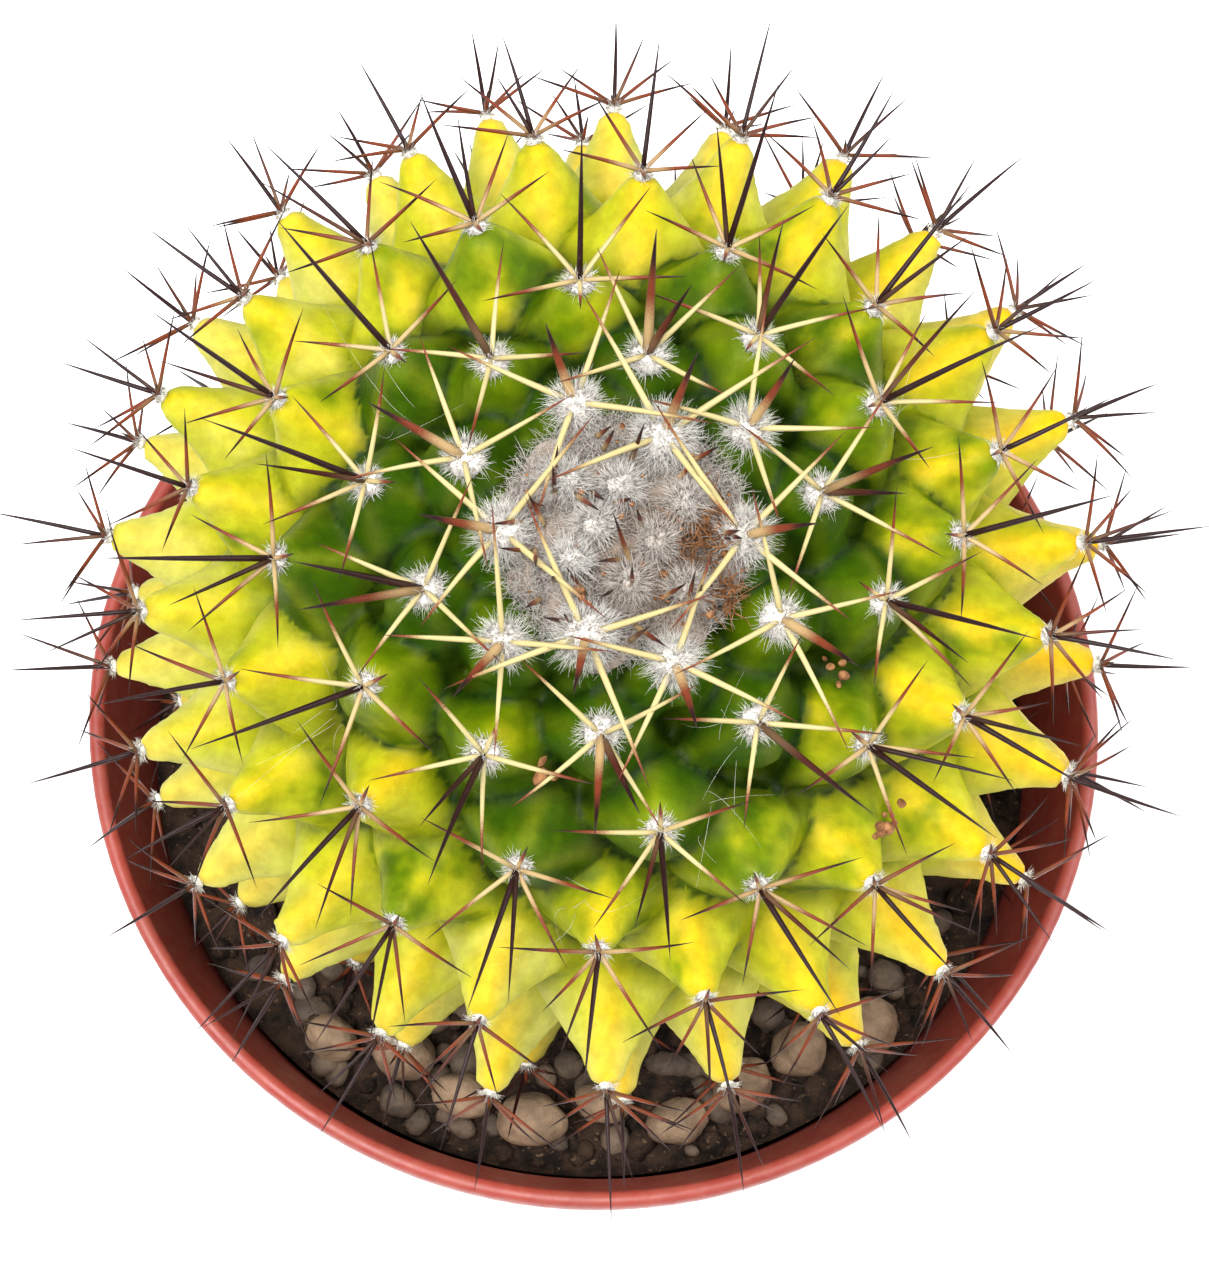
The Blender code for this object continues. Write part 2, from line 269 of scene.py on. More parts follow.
def mottleGroup():
    group = bpy.data.node_groups.new("mottle", "ShaderNodeTree")
    face = group.interface
    face.new_socket(name="Vector", in_out="INPUT", socket_type="NodeSocketVector")
    for name in ("Scale", "Spread"):
        face.new_socket(name=name, in_out="INPUT", socket_type="NodeSocketFloat")
    for name in ("Dark", "Light"):
        face.new_socket(name=name, in_out="INPUT", socket_type="NodeSocketColor")
    face.new_socket(name="Color", in_out="OUTPUT", socket_type="NodeSocketColor")
    for name in ("Mask", "Fine"):
        face.new_socket(name=name, in_out="OUTPUT", socket_type="NodeSocketFloat")
    tree = Tree(group)
    entry, leave = tree.add("NodeGroupInput").outputs, tree.add("NodeGroupOutput").inputs
    broad = tree.noise(entry["Vector"], entry["Scale"], 4.0, 0.6)
    low, high = tree.minus(0.5, entry["Spread"]), tree.plus(0.5, entry["Spread"])
    mask = tree.between(broad, low, high)
    tree.put(leave["Color"], tree.blend(mask, entry["Dark"], entry["Light"]))
    tree.put(leave["Mask"], mask)
    tree.put(leave["Fine"], tree.noise(entry["Vector"], tree.times(entry["Scale"], 7.0), 5.0, 0.65))
    return group


mottle = mottleGroup()


def addMottle(tree, scale, spread, dark=(0, 0, 0), light=(1, 1, 1), coords=None):
    node = tree.add("ShaderNodeGroup")
    node.node_tree = mottle
    tree.putAll(
        node, Vector=coords or tree.objectCoords(), Scale=scale, Spread=spread, Dark=dark, Light=light,
    )
    return node.outputs


# Turning a profile, cutting, and applying modifiers.

def turned(profile, steps):
    # each point of the profile is (radius, height)
    shape = bmesh.new()
    points = [shape.verts.new((radius, 0, height)) for radius, height in profile]
    line = [shape.edges.new(ends) for ends in zip(points, points[1:])]
    bmesh.ops.spin(
        shape, geom=[*points, *line], cent=(0, 0, 0), axis=(0, 0, 1), angle=math.tau,
        steps=steps, use_merge=True,
    )
    bmesh.ops.remove_doubles(shape, verts=shape.verts, dist=0.00001)
    return shape


def applyModifiers(piece):
    view = bpy.context.evaluated_depsgraph_get()
    done = bpy.data.meshes.new_from_object(piece.evaluated_get(view), depsgraph=view)
    old = piece.data
    piece.modifiers.clear()
    piece.data = done
    bpy.data.meshes.remove(old)


def cutShape(piece, shape):
    tool = sceneObject("cutter", meshOf("cutter", shape))
    step = piece.modifiers.new("cut", "BOOLEAN")
    step.operation = "DIFFERENCE"
    step.object = tool
    applyModifiers(piece)
    bpy.data.objects.remove(tool, do_unlink=True)


# The pot: one thin moulded shell with a band at its rim and holes in its floor.

pot = {
    "height": 0.056, "rim": 0.0325, "base": 0.022, "wall": 0.0011, "floor": 0.0018,
    "bandDepth": 0.008, "bandStep": 0.0007, "turns": 128, "sharpEdge": 38,
    "drainHoles": 6, "drainRadius": 0.0025, "drainRing": 0.0135, "drainSides": 28, "drainCut": 0.006,
    "colourDark": (0.21, 0.030, 0.022), "colourLight": (0.30, 0.046, 0.034),
    "dust": (0.36, 0.17, 0.12), "dustTop": 0.02,
}


def potInner(height):
    outOfShade = pot["base"] + (pot["rim"] - pot["bandStep"] - pot["base"]) * height / pot["height"]
    return outOfShade - pot["wall"]


def potPlastic():
    made, tree, sockets = newMaterial("claypotPlastic", 0.42, 0.4)
    coords = tree.objectCoords()
    tone = addMottle(tree, 90.0, 0.25, pot["colourDark"], pot["colourLight"], coords)
    speck = addMottle(tree, 900.0, 0.1, coords=coords)
    height = tree.add("ShaderNodeSeparateXYZ")
    tree.put(height.inputs[0], coords)
    low = tree.between(height.outputs["Z"], pot["dustTop"], 0.0, 0.0, 0.35)
    dusty = tree.times(speck["Mask"], tree.plus(low, 0.1))
    colour = tree.blend(dusty, tone["Color"], pot["dust"])
    dressSurface(tree, sockets, colour, tone["Fine"], 0.25, 0.00012, (0.36, 0.52))
    return made


def potProfile():
    top, base, floor, half = pot["height"], pot["base"], pot["floor"], pot["wall"] / 2
    bandZ = top - pot["bandDepth"]
    wallAtBand = potInner(bandZ) + pot["wall"]
    inside = [
        (0, floor), (potInner(floor) - 0.0022, floor), (potInner(0.0022) - 0.0007, 0.0022),
        (potInner(0.0034), 0.0036), (potInner(0.02), 0.02), (potInner(0.035), 0.035),
        (potInner(top - 0.003), top - 0.003),
    ]
    lip = [
        (pot["rim"] - half + half * math.cos(angle), top - half + half * math.sin(angle))
        for angle in (math.radians(turn) for turn in range(175, -1, -22))
    ]
    outside = [
        (pot["rim"] - 0.0001, top - 0.0015),
        (wallAtBand + pot["bandStep"] + 0.00005, bandZ + 0.0007),
        (wallAtBand + pot["bandStep"] - 0.00015, bandZ + 0.0002),
        (wallAtBand + 0.0001, bandZ), (wallAtBand - 0.00006, bandZ - 0.0004),
        (base + 0.0041, 0.024), (base + 0.0002, 0.0012), (base - 0.0001, 0.0004), (base - 0.0006, 0),
        (0, 0),
    ]
    return [*inside, *lip, *outside]


def makePot():
    shape = turned(potProfile(), pot["turns"])
    bmesh.ops.recalc_face_normals(shape, faces=shape.faces)
    piece = finishPiece("pot_shell", shape, potPlastic(), "pot")
    holes = bmesh.new()
    for index in range(pot["drainHoles"]):
        turn = Matrix.Rotation(math.tau * index / pot["drainHoles"], 4, "Z")
        bmesh.ops.create_cone(
            holes, cap_ends=True, segments=pot["drainSides"], radius1=pot["drainRadius"],
            radius2=pot["drainRadius"], depth=pot["drainCut"],
            matrix=turn @ Matrix.Translation((pot["drainRing"], 0, pot["floor"] / 2)),
        )
    cutShape(piece, holes)
    piece.data.set_sharp_from_angle(angle=math.radians(pot["sharpEdge"]))
    report("pot turned")


makePot()


# Tubes: tubercles, spines and hairs are all copies of a tube whose rings are moved.

def vertexSpots(mesh):
    spots = np.empty(len(mesh.vertices) * 3, np.float32)
    mesh.vertices.foreach_get("co", spots)
    return spots.reshape(-1, 3).astype(float)


def moveVertices(mesh, spots):
    mesh.vertices.foreach_set("co", np.ascontiguousarray(spots, np.float32).ravel())


def setValues(mesh, name, values):
    layer = mesh.attributes.new(name, "FLOAT", "POINT")
    layer.data.foreach_set("value", np.ascontiguousarray(values, np.float32))


class Tube:
    def __init__(self, sides, rings):
        shape = bmesh.new()
        bmesh.ops.create_cone(shape, cap_ends=True, segments=sides, radius1=1, radius2=1, depth=1)
        upright = [edge for edge in shape.edges if abs(edge.verts[0].co.z - edge.verts[1].co.z) > 0.5]
        bmesh.ops.subdivide_edges(shape, edges=upright, cuts=rings - 1, use_grid_fill=True)
        self.mesh = meshOf("tube", shape)
        spots = vertexSpots(self.mesh)
        self.share, self.x, self.y = spots[:, 2] + 0.5, spots[:, 0], spots[:, 1]

    def copies(self, count):
        # the copies are doubled until there are enough, and they stay in order
        shape = bmesh.new()
        shape.from_mesh(self.mesh)
        kinds = (shape.verts, shape.edges, shape.faces)
        each = [len(kind) for kind in kinds]
        made = 1
        while made < count:
            more = min(made, count - made)
            parts = [kind[:size * more] for kind, size in zip(kinds, each)]
            bmesh.ops.duplicate(shape, geom=[*parts[0], *parts[1], *parts[2]])
            made += more
            for kind in kinds:
                kind.ensure_lookup_table()
        return meshOf("copies", shape)


def unit(ways):
    return ways / np.linalg.norm(ways, axis=-1, keepdims=True)


def bentTubes(tube, strands, taper, names):
    # each strand is (start, way, length, radius, bend, value for each name)
    start, way, bend = (np.array([strand[place][:] for strand in strands])[:, None] for place in (0, 1, 4))
    length, radius = (np.array([strand[place] for strand in strands])[:, None, None] for place in (2, 3))
    way = unit(way)
    helper = np.where(np.abs(way[..., 2:]) < 0.8, (0.0, 0.0, 1.0), (1.0, 0.0, 0.0))
    side = unit(np.cross(helper, way))
    up = np.cross(way, side)
    share, x, y = (line[None, :, None] for line in (tube.share, tube.x, tube.y))
    middle = start + length * (way * share + bend * share ** 2)
    mesh = tube.copies(len(strands))
    moveVertices(mesh, middle + (side * x + up * y) * radius * taper(share))
    setValues(mesh, "along", np.tile(tube.share, len(strands)))
    for place, name in enumerate(names):
        setValues(mesh, name, np.repeat([strand[5 + place] for strand in strands], len(tube.share)))
    mesh.update()
    return mesh


def spineTaper(share):
    return 0.96 * (1 - share ** 2.1) + 0.05


def hairTaper(share):
    return 1 - 0.8 * share


def joined(*meshes):
    shape = bmesh.new()
    for mesh in meshes:
        shape.from_mesh(mesh)
    return shape


# The stem: a core, a neck and the tubercles, made one skin by a remesh.

stem = {
    "voxel": 0.00047, "sides": 24, "rings": 14, "smoothings": 2,
    "footSink": 0.0032, "footSpread": 1.12, "droop": 3.5, "tipCap": 0.0006,
    "neckRadius": 0.009, "neckWiden": 1.15, "neckFoot": 0.0441, "neckBelow": 0.014,
    "uneven": 0.00014, "unevenScale": 260, "grainShare": 0.3, "grainScale": 900,
    "grooveShadeDeep": (0.003, 0.014, 0.0), "grooveShadeOlive": (0.13, 0.15, 0.001), "green": (0.024, 0.064, 0.0),
    "leaf": (0.12, 0.18, 0.0), "lime": (0.35, 0.35, 0.008), "lemon": (0.44, 0.42, 0.085),
    "gold": (0.62, 0.36, 0.001),
}


def tubercleForm(pair):
    # young tubercles are blunt and rounded, and old ones are slim and four-sided
    young = math.exp(-pair / 7)
    old = fade(10, 30, pair)
    return {
        "tip": 0.0009 + 0.0001 * old + 0.0003 * young,
        "gain": 0.00052 - 0.00031 * old + 0.0006 * young,
        "power": 1.1 + 0.34 * old - 0.45 * young,
        "round": 1.36 + 0.12 * young,
    }


def halfWidth(form, back):
    cap = stem["tipCap"]
    dome = np.sqrt(np.clip(1 - (1 - np.minimum(back, cap) / cap) ** 2, 0, 1))
    return form["tip"] * (0.25 + 0.75 * dome) + form["gain"] * (np.maximum(back, 0) * 1000) ** form["power"]


def tubercleFrame(pair, half):
    polar, around = polarAngle(pair), aroundAngle(pair, half)
    footPolar = polar + math.radians(stem["droop"])
    reach = coreReach(footPolar) - stem["footSink"]
    foot = onBall(direction(footPolar, around), reach)
    frameAt = areoleFrame(pair, half, growth["bodyRadius"])
    tip, side = frameAt.translation, frameAt.to_3x3() @ Vector((1, 0, 0))
    out = (tip - foot).normalized()
    return tip, side, out.cross(side), out, (tip - foot).length, reach


def tubercleSpots(tube, pair, half):
    tip, side, up, out, length, reach = tubercleFrame(pair, half)
    form = tubercleForm(pair)
    room = stem["footSpread"] * roomFor(pair) / math.sqrt(2) * reach / growth["bodyRadius"]
    slim = random.Random(7 * pair + half).uniform(0.94, 1.06)
    back = length * (1 - tube.share) ** 1.8
    width = np.minimum(halfWidth(form, back) * slim, max(room, form["tip"]))
    power = form["round"]
    width = width * (np.abs(tube.x) ** power + np.abs(tube.y) ** power) ** (-1 / power)
    across = tube.x[:, None] * np.array(side) + tube.y[:, None] * np.array(up)
    return np.array(tip) - back[:, None] * np.array(out) + across * width[:, None]


def neckPlace():
    low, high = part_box("root")
    rootTop = [v.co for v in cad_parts["root"].data.vertices if v.co.z > high.z - 0.0005]
    return sum(rootTop, Vector()) / len(rootTop)


def skinShape():
    shape = bmesh.new()
    bmesh.ops.create_uvsphere(shape, u_segments=48, v_segments=32, radius=growth["coreRadius"])
    bmesh.ops.scale(shape, verts=shape.verts, vec=(1, 1, growth["coreStretch"]))
    lean = Matrix.Translation(growth["centre"]) @ stemTurn.to_4x4()
    bmesh.ops.transform(shape, verts=shape.verts, matrix=lean)
    foot = neckPlace()
    height = growth["centre"].z - stem["neckBelow"] - stem["neckFoot"]
    bmesh.ops.create_cone(
        shape, cap_ends=True, segments=40, radius1=stem["neckRadius"],
        radius2=stem["neckRadius"] * stem["neckWiden"], depth=height,
        matrix=Matrix.Translation((foot.x, foot.y, stem["neckFoot"] + height / 2)),
    )
    tube = Tube(stem["sides"], stem["rings"])
    mesh = tube.copies(len(places))
    moveVertices(mesh, np.concatenate([tubercleSpots(tube, pair, half) for pair, half in places]))
    shape.from_mesh(mesh)
    return shape


def skinValues(spots):
    # each point of the skin takes its values from the tubercle that it belongs to
    count = len(spots)
    best, second = np.full(count, 9.0), np.full(count, 9.0)
    values = {name: np.zeros(count) for name in ("tipness", "keel", "ridge", "age", "luck", "gold")}
    for pair, half in places:
        tip, side, up, out, length, reach = tubercleFrame(pair, half)
        form = tubercleForm(pair)
        apart = spots - np.array(tip)
        back = -(apart @ np.array(out))
        x, y = apart @ np.array(side), apart @ np.array(up)
        width = halfWidth(form, np.clip(back, 0.0002, length))
        across = (np.abs(x) ** form["round"] + np.abs(y) ** form["round"]) ** (1 / form["round"])
        pastFoot = np.clip(back / length - 1.15, 0, 9) * 9
        pastTip = np.clip(-back - 0.0008, 0, 1) * 2000
        fill = across / width + pastFoot + pastTip
        nearer = fill < best
        second = np.where(nearer, best, np.minimum(second, fill))
        best = np.where(nearer, fill, best)
        onTop = np.clip(y / 0.0008 + 0.6, 0, 1)
        keel = np.exp(-(x / (0.0006 + 0.16 * width)) ** 2) * onTop
        edge = np.exp(-(np.minimum(np.abs(x), np.abs(y)) / (0.00025 + 0.12 * width)) ** 2)
        values["tipness"][nearer] = np.clip(1 - back / length, 0, 1)[nearer]
        values["keel"][nearer] = keel[nearer]
        values["ridge"][nearer] = (edge * np.clip(across / width * 1.5 - 0.6, 0, 1))[nearer]
        values["age"][nearer] = pair / oldest
        values["luck"][nearer] = random.Random(31 * pair + 17 * half).random()
        values["gold"][nearer] = 0.5 + 0.5 * out.x
    # groove is 1 where two tubercles meet and past a foot; the skin paints shade with it
    shared = np.clip(1 - (second - best) / 0.5, 0, 1) ** 1.6
    values["groove"] = np.maximum(shared, np.clip((best - 1.15) / 0.3, 0, 1))
    return values


def stemSkin():
    made, tree, sockets = newMaterial("tubercleSkin", 0.46, 0.1)
    tip, keel, age, edges = (tree.attribute(name) for name in ("tipness", "keel", "age", "ridge"))
    luck, gold, groove = (tree.attribute(name) for name in ("luck", "gold", "groove"))
    coords = tree.objectCoords()
    streak = tree.noise(coords, 900.0, 4.0, 0.6)
    patch = tree.noise(coords, 230.0, 3.0, 0.5)
    blotch = tree.noise(coords, 420.0, 5.0, 0.65)

    # green near the crown, then leaf and lime with age, in soft patches
    wander = tree.times(tree.minus(patch, 0.5), tree.between(age, 0.1, 0.42, 0.22, 0.8))
    fair = tree.plus(age, tree.plus(wander, tree.times(tree.minus(luck, 0.5), 0.16)))
    topside = tree.plus(fair, tree.times(tree.between(tip, 0.6, 1.0), 0.05))
    colour = tree.blend(tree.between(topside, 0.12, 0.27), stem["green"], stem["leaf"])
    colour = tree.blend(tree.between(fair, 0.17, 0.31), colour, stem["lime"])
    # lime along the tubercles' edges: partly their colour, partly a painted highlight on the edges
    limeEdgeHighlight = tree.times(edges, tree.between(age, 0.1, 0.3, 0.12, 0.4))
    colour = tree.blend(limeEdgeHighlight, colour, stem["lime"])
    foot = tree.times(tree.between(tip, 0.65, 0.15), tree.between(age, 0.15, 0.7, 0.8, 0.45))
    colour = tree.blend(foot, colour, stem["leaf"])

    # the outer half of an old tubercle pales, and its keel and the side that faces +X are golden
    paleAt = tree.minus(tip, tree.times(groove, 0.35))
    pale = tree.between(tree.plus(paleAt, wander), 0.3, 0.8)
    pale = tree.times(pale, tree.between(fair, 0.28, 0.6))
    colour = tree.blend(tree.times(pale, 0.9), colour, stem["lemon"])
    ridge = tree.times(keel, tree.between(tip, 0.35, 0.85))
    ridge = tree.times(ridge, tree.between(fair, 0.16, 0.34))
    warmth = tree.plus(tree.times(gold, 0.75), 0.3, clamp=True)
    colour = tree.blend(tree.times(ridge, warmth), colour, stem["gold"])
    warmSide = tree.times(tree.between(gold, 0.6, 1.0), tree.times(pale, 0.35))
    colour = tree.blend(warmSide, colour, stem["gold"])

    # painted shade in the grooves, greener blotches, and fine streaks, with a painted shade that darkens
    # towards the foot
    # painted shade: the grooves darken towards a deep green near the crown and an olive green lower down
    depth = tree.times(groove, tree.between(age, 0.18, 0.6, 0.98, 0.68))
    shadow = tree.blend(tree.between(age, 0.14, 0.36), stem["grooveShadeDeep"], stem["grooveShadeOlive"])
    colour = tree.blend(depth, colour, shadow)
    greener = tree.times(tree.between(blotch, 0.5, 0.68), tree.between(age, 0.2, 0.4, 0.1, 0.25))
    colour = tree.blend(greener, colour, stem["leaf"])
    # painted shade: each tubercle darkens towards its foot, the young ones most, and the fine streaks
    # multiply into it
    low = tree.between(tree.plus(tip, tree.times(age, 0.8)), 0.28, 0.8, 0.45, 1.06)
    streaks = tree.between(streak, 0.3, 0.72, 0.78, 1.1)
    streaks = tree.times(streaks, tree.between(blotch, 0.3, 0.7, 0.88, 1.08))
    streaksAndFootShade = tree.times(streaks, low)
    streakAndShadeColour = tree.add("ShaderNodeCombineColor")
    tree.putAll(streakAndShadeColour, Red=streaksAndFootShade, Green=streaksAndFootShade, Blue=streaksAndFootShade)
    tree.put(sockets["Base Color"], tree.blend(0.8, colour, streakAndShadeColour.outputs[0], "MULTIPLY"))

    fine = addMottle(tree, 1400.0, 0.2)
    tree.put(sockets["Roughness"], tree.between(fine["Fine"], 0.3, 0.7, 0.38, 0.54))
    rough = tree.plus(tree.times(fine["Fine"], 0.5), tree.times(streak, 0.6))
    tree.put(sockets["Normal"], tree.bump(rough, 0.45, 0.00016))
    sockets["Subsurface Weight"].default_value = 0.08
    sockets["Subsurface Radius"].default_value = (1.0, 0.9, 0.1)
    sockets["Subsurface Scale"].default_value = 0.001
    return made


def makeStem():
    piece = finishPiece("tubercled_stem", skinShape(), stemSkin(), "stem")
    step = piece.modifiers.new("skin", "REMESH")
    step.mode = "VOXEL"
    step.voxel_size = stem["voxel"]
    applyModifiers(piece)
    mesh = piece.data
    shape = bmesh.new()
    shape.from_mesh(mesh)
    for turn in range(stem["smoothings"]):
        bmesh.ops.smooth_vert(
            shape, verts=shape.verts, factor=0.5, use_axis_x=True, use_axis_y=True, use_axis_z=True,
        )
    uneven, grain = stem["uneven"], stem["uneven"] * stem["grainShare"]
    for point in shape.verts:
        swell = noise.noise(point.co * stem["unevenScale"]) * uneven
        point.co += point.normal * (swell + noise.noise(point.co * stem["grainScale"]) * grain)
    shape.to_mesh(mesh)
    shape.free()
    for name, column in skinValues(vertexSpots(mesh)).items():
        setValues(mesh, name, column)
    mesh.shade_smooth()
    report(f"stem of {len(places)} tubercles, {len(mesh.polygons)} faces")


makeStem()


# Wool and spines: each areole has a pad of wool with its hairs, its radial spines and its central
# spines. The youngest pads are the largest.

wool = {
    "oldRadius": 0.00055, "youngGain": 0.0013, "fadePairs": 8, "hairRadius": 0.00002,
    "white": (0.76, 0.73, 0.68), "shade": (0.24, 0.20, 0.165), "fleck": (0.12, 0.06, 0.035),
    "felt": (0.42, 0.34, 0.27), "feltShade": (0.11, 0.075, 0.052),
}
spine = {
    "sides": 6, "rings": 6,
    "youngSpread": (45, 135, 225, 315), "oldSpread": (0, 68, 140, 220, 292), "rise": 22,
    "upperShare": 0.42,       # the spine that points to the growing point is short
    "length": 0.0054, "youngLonger": 0.0027, "radius": 0.00012, "youngThicker": 0.00007,
    "centralLength": 0.0092, "centralTilt": 26, "centralRadius": 0.00018, "youngCentral": 0.00028,
    "cream": (0.43, 0.36, 0.165), "tan": (0.36, 0.24, 0.11), "brown": (0.10, 0.036, 0.018),
    "rust": (0.14, 0.027, 0.010), "dark": (0.014, 0.004, 0.004), "grey": (0.16, 0.08, 0.06),
}
spineTube, hairTube, threadTube = Tube(spine["sides"], spine["rings"]), Tube(3, 2), Tube(3, 9)


def woolDown():
    made, tree, sockets = newMaterial("woolDown", 0.95, 0.15)
    stain = tree.attribute("stain")
    coords = tree.objectCoords()
    fluff = addMottle(tree, 1500.0, 0.25, coords=coords)
    # painted shade: each hair goes from a shaded colour at its root to white or felt at its tip, lifted at
    # random by the fluff
    outOfShade = tree.between(tree.attribute("along"), 0.0, 0.5)
    outOfShadeOrFluffed = tree.plus(outOfShade, tree.times(fluff["Mask"], 0.3), clamp=True)
    soft = tree.blend(outOfShadeOrFluffed, wool["shade"], wool["white"])
    felt = tree.blend(outOfShadeOrFluffed, wool["feltShade"], wool["felt"])
    flecks = tree.between(tree.noise(coords, 2600.0, 2.0), 0.6, 0.67)
    flecks = tree.times(flecks, tree.plus(tree.times(stain, 0.5), 0.45))
    colour = tree.blend(flecks, tree.blend(stain, soft, felt), wool["fleck"])
    dressSurface(tree, sockets, colour, fluff["Fine"], 0.5, 0.0002)
    sockets["Sheen Weight"].default_value = 0.25
    sockets["Sheen Roughness"].default_value = 0.5
    sockets["Subsurface Weight"].default_value = 0.2
    sockets["Subsurface Radius"].default_value = (1.0, 0.9, 0.8)
    sockets["Subsurface Scale"].default_value = 0.0004
    return made


def spineHorn():
    # cream, tan or brown at the foot, then rust, then a dark point
    made, tree, sockets = newMaterial("spineHorn", 0.5, 0.18)
    along, youth, shade = (tree.attribute(name) for name in ("along", "youth", "shade"))
    fine = addMottle(tree, 1300.0, 0.2)["Fine"]
    at = tree.plus(along, tree.times(tree.minus(fine, 0.5), 0.25))
    base = tree.blend(tree.between(youth, 0.05, 0.35), spine["brown"], spine["tan"])
    base = tree.blend(tree.between(youth, 0.3, 0.75), base, spine["cream"])
    base = tree.blend(tree.between(shade, 0.35, 1.0), base, spine["dark"])
    rust = tree.blend(tree.between(shade, 0.3, 0.9), spine["rust"], spine["dark"])
    rustFrom = tree.plus(tree.times(youth, 0.52), 0.06)
    colour = tree.blend(tree.between(at, rustFrom, tree.plus(rustFrom, 0.28)), base, rust)
    darkFrom = tree.plus(tree.times(youth, 0.4), 0.42)
    colour = tree.blend(tree.between(at, darkFrom, tree.plus(darkFrom, 0.25)), colour, spine["dark"])
    worn = tree.times(tree.between(fine, 0.58, 0.75), tree.times(shade, 0.35))
    colour = tree.blend(worn, colour, spine["grey"])
    dressSurface(tree, sockets, colour, fine, 0.2, 0.00005, (0.28, 0.5))
    return made


downMaterial, hornMaterial = woolDown(), spineHorn()


class Down:
    # mounds of wool and their hairs
    def __init__(self):
        self.shape = bmesh.new()
        for name in ("along", "stain"):
            self.shape.verts.layers.float.new(name)
        self.along, self.stain = (self.shape.verts.layers.float[name] for name in ("along", "stain"))
        self.hairs = []

    def finished(self):
        return joined(meshOf("mounds", self.shape), bentTubes(hairTube, self.hairs, hairTaper, ("stain",)))


def spineShape(strands):
    return joined(bentTubes(spineTube, strands, spineTaper, ("youth", "shade")))


def padRadius(pair):
    return wool["oldRadius"] + wool["youngGain"] * math.exp(-pair / wool["fadePairs"])


def padSettings(pair):
    radius, young = padRadius(pair), math.exp(-pair / 9)
    return radius * 0.86, radius * (0.5 + 0.25 * young), int(120 + 460 * young), 0.00034 + 0.00042 * young


def addSpineSet(strands, pair, half, frameAt):
    dice = random.Random(100 * pair + half)
    turn3 = frameAt.to_3x3()
    start = frameAt @ Vector((0, 0, 0.0001 + 0.25 * padRadius(pair)))

    # radial spines
    young = math.exp(-max(0, pair) / 10)
    length = spine["length"] + spine["youngLonger"] * math.exp(-pair / 8)
    radius = spine["radius"] + spine["youngThicker"] * young
    for angle in spine["youngSpread"] if pair < 8 else spine["oldSpread"]:
        turn = math.radians(angle + dice.uniform(-9, 9))
        rise = math.radians(spine["rise"] + dice.uniform(-5, 7))
        share = spine["upperShare"] if angle == 0 else dice.uniform(0.86, 1.1)
        flat = math.cos(rise)
        way = turn3 @ Vector((math.sin(turn) * flat, math.cos(turn) * flat, math.sin(rise)))
        bend = turn3 @ scatter(dice, 0.05, 0.05, (-0.06, 0.03))
        youth = min(1, max(0, 1.6 * young + dice.uniform(-0.12, 0.08)))
        strands.append((start, way, length * share, radius, bend, youth, dice.uniform(0, 0.25)))

    # central spines: they darken with age, and most older areoles have a second one
    tilt = math.radians(spine["centralTilt"] + dice.uniform(-7, 7))
    way = Vector((dice.uniform(-0.14, 0.14), -math.sin(tilt), math.cos(tilt))).normalized()
    bend = turn3 @ Vector((dice.uniform(-0.04, 0.04), dice.uniform(-0.06, 0.02), 0))
    reach = spine["centralLength"] * dice.uniform(0.86, 1.1)
    reach = reach * mix(0.62, 1, fade(2, 9, pair)) * mix(1, 0.74, fade(12, 22, pair))
    dark = fade(4, 9, pair)
    radius = mix(spine["youngCentral"], spine["centralRadius"], dark) * mix(1, 0.8, fade(12, 24, pair))
    strands.append((start, turn3 @ way, reach, radius, bend, mix(0.35, 0.1, dark), mix(0.3, 0.95, dark)))
    if pair > 4 and dice.random() < 0.8:
        turn = dice.choice((-1, 1)) * dice.uniform(0.18, 0.42)
        way = turn3 @ Vector((way.x + turn, way.y + dice.uniform(-0.1, 0.25), way.z)).normalized()
        second = reach * dice.uniform(0.65, 0.95)
        strands.append((start, way, second, radius * 0.85, bend, 0.15, dice.uniform(0.6, 0.95)))


def addPad(down, frameAt, radius, height, hairs, length, dice, stain=0.0, detail=2):
    shape = down.shape
    first = len(shape.verts)
    size = Matrix.Diagonal((radius, radius, height, 1))
    bmesh.ops.create_icosphere(shape, subdivisions=detail, radius=1, matrix=frameAt @ size)
    shape.verts.ensure_lookup_table()
    middle, turn3 = frameAt.translation, frameAt.to_3x3()
    for point in shape.verts[first:]:
        point.co = middle + (point.co - middle) * (0.86 + 0.16 * noise.noise(point.co * 2600))
        point[down.stain] = stain
        # painted shade: a mound's wool stays partway between its shaded colour and white
        point[down.along] = 0.3
    for index in range(hairs):
        high, around = dice.uniform(-0.05, 1), dice.uniform(0, math.tau)
        flat = math.sqrt(max(0, 1 - high * high))
        out = Vector((flat * math.cos(around), flat * math.sin(around), high))
        start = frameAt @ (Vector((out.x * radius, out.y * radius, out.z * height)) * 0.82)
        way = turn3 @ (out + scatter(dice, 1, 1, (-0.4, 1)) * 0.45)
        curl = turn3 @ scatter(dice, 0.5, 0.5, 0.3)
        long = length * dice.uniform(0.6, 1.3)
        down.hairs.append((start, way, long, wool["hairRadius"], curl, stain))


def makeClusters():
    number, first = 0, growth["crownPairs"]
    for pair in range(first, first + growth["clusterPairs"]):
        for half in (0, 1):
            number += 1
            frameAt = areoleFrame(pair, half, growth["bodyRadius"])
            node, strands, down = f"spine_cluster_{number:02d}", [], Down()
            addSpineSet(strands, pair, half, frameAt)
            finishPiece(f"areole_spines_{number:02d}", spineShape(strands), hornMaterial, node)
            detail = 3 if pair < 12 else 2
            addPad(down, frameAt, *padSettings(pair), random.Random(number), detail=detail)
            finishPiece(f"areole_wool_{number:02d}", down.finished(), downMaterial, node)
    report(f"{number} spine clusters")


